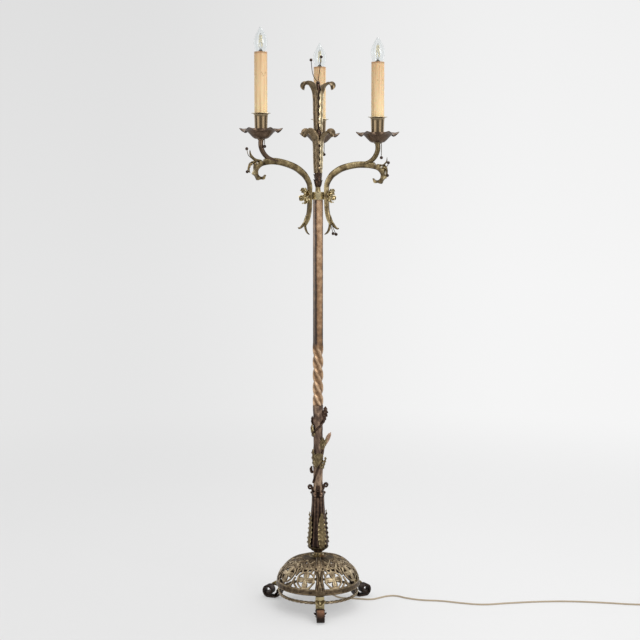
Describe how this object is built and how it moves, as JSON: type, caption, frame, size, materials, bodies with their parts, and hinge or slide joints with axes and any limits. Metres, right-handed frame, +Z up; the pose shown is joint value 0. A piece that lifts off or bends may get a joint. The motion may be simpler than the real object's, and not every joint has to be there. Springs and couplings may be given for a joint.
{
  "type": "candelabra floor lamp",
  "caption": "Standing lamp with a pierced domed base on scroll feet, a twisted square shaft and curved arms that carry electric candles over drip pans.",
  "frame": {"origin": "on the floor, at the middle of the box round the lamp without its cord", "axes": "+Z up along the stem, -Y towards the front foot, +X towards the side where the cord leaves"},
  "size_m": [1.2191, 0.3976, 1.5245],
  "materials": {
    "patinated_brass": "old gilt brass with dark recesses",
    "bright_brass": "rubbed",
    "dark_bronze": "dark patina, satin",
    "dark_iron": "aged, satin",
    "painted_shaft": "worn bronze paint",
    "candle_wax": "waxy cream",
    "clear_glass": "clear",
    "plated_steel": "satin",
    "cord_vinyl": "satin",
    "plug_plastic": "moulded",
    "bush_rubber": "matt"
  },
  "bodies": {
    "root": {"base_dome": "patinated_brass", "dome_cap": "dark_bronze", "foot_front": "dark_iron", "foot_right": "dark_iron", "foot_left": "dark_iron", "stretcher_ring": "dark_iron", "centre_pipe": "plated_steel", "pipe_washer": "plated_steel", "pipe_nut": "plated_steel", "vase_body": "dark_iron", "vase_leaves": "patinated_brass", "ruffled_collar": "dark_iron", "lower_stem": "dark_iron", "stem_vine": "patinated_brass", "shaft": "painted_shaft", "arm_band": "bright_brass", "arm_left": "patinated_brass", "arm_right": "patinated_brass", "arm_back": "patinated_brass", "branch_left": "patinated_brass", "branch_right": "patinated_brass", "branch_back": "patinated_brass", "leaf_spray_left": "patinated_brass", "leaf_spray_right": "patinated_brass", "leaf_spray_back": "patinated_brass", "rosette_left": "patinated_brass", "rosette_right": "patinated_brass", "rosette_back": "patinated_brass", "upper_stem": "dark_iron", "tier_leaves": "patinated_brass", "crown_leaves": "patinated_brass", "berry_spray": "patinated_brass", "drip_pan_left": "dark_bronze", "drip_pan_right": "dark_bronze", "drip_pan_back": "dark_bronze", "candle_cup_left": "patinated_brass", "candle_cup_right": "patinated_brass", "candle_cup_back": "patinated_brass", "socket_left": "plated_steel", "socket_right": "plated_steel", "socket_back": "plated_steel", "candle_sleeve_left": "candle_wax", "candle_sleeve_right": "candle_wax", "candle_sleeve_back": "candle_wax", "cord_bushing": "bush_rubber", "cord_run": "cord_vinyl", "cord_coil": "cord_vinyl", "cord_tail": "cord_vinyl", "cord_tie": "bush_rubber", "plug": "plug_plastic"},
    "bulb_left": {"bulb_glass_left": "clear_glass", "bulb_cap_left": "bright_brass"},
    "bulb_right": {"bulb_glass_right": "clear_glass", "bulb_cap_right": "bright_brass"},
    "bulb_back": {"bulb_glass_back": "clear_glass", "bulb_cap_back": "bright_brass"},
    "pull_left": {"pull_chain_left": "plated_steel"},
    "pull_right": {"pull_chain_right": "plated_steel"},
    "pull_back": {"pull_chain_back": "plated_steel"}
  },
  "joints": [
    {"name": "unscrew_left", "type": "hinge", "parent": "root", "child": "bulb_left", "pos_m": [-0.14806, -0.12181, 1.45], "axis": [0, 0, 1], "range_deg": [0, 1080]},
    {"name": "unscrew_right", "type": "hinge", "parent": "root", "child": "bulb_right", "pos_m": [0.14806, -0.10888, 1.43], "axis": [0, 0, 1], "range_deg": [0, 1080]},
    {"name": "unscrew_back", "type": "hinge", "parent": "root", "child": "bulb_back", "pos_m": [0.00069, 0.14381, 1.44], "axis": [0, 0, 1], "range_deg": [0, 1080]},
    {"name": "pull_switch_left", "type": "slide", "parent": "root", "child": "pull_left", "axis": [0, 0, -1], "range_m": [0, 0.009], "stiffness_N_per_m": 900},
    {"name": "pull_switch_right", "type": "slide", "parent": "root", "child": "pull_right", "axis": [0, 0, -1], "range_m": [0, 0.009], "stiffness_N_per_m": 900},
    {"name": "pull_switch_back", "type": "slide", "parent": "root", "child": "pull_back", "axis": [0, 0, -1], "range_m": [0, 0.009], "stiffness_N_per_m": 900}
  ]
}
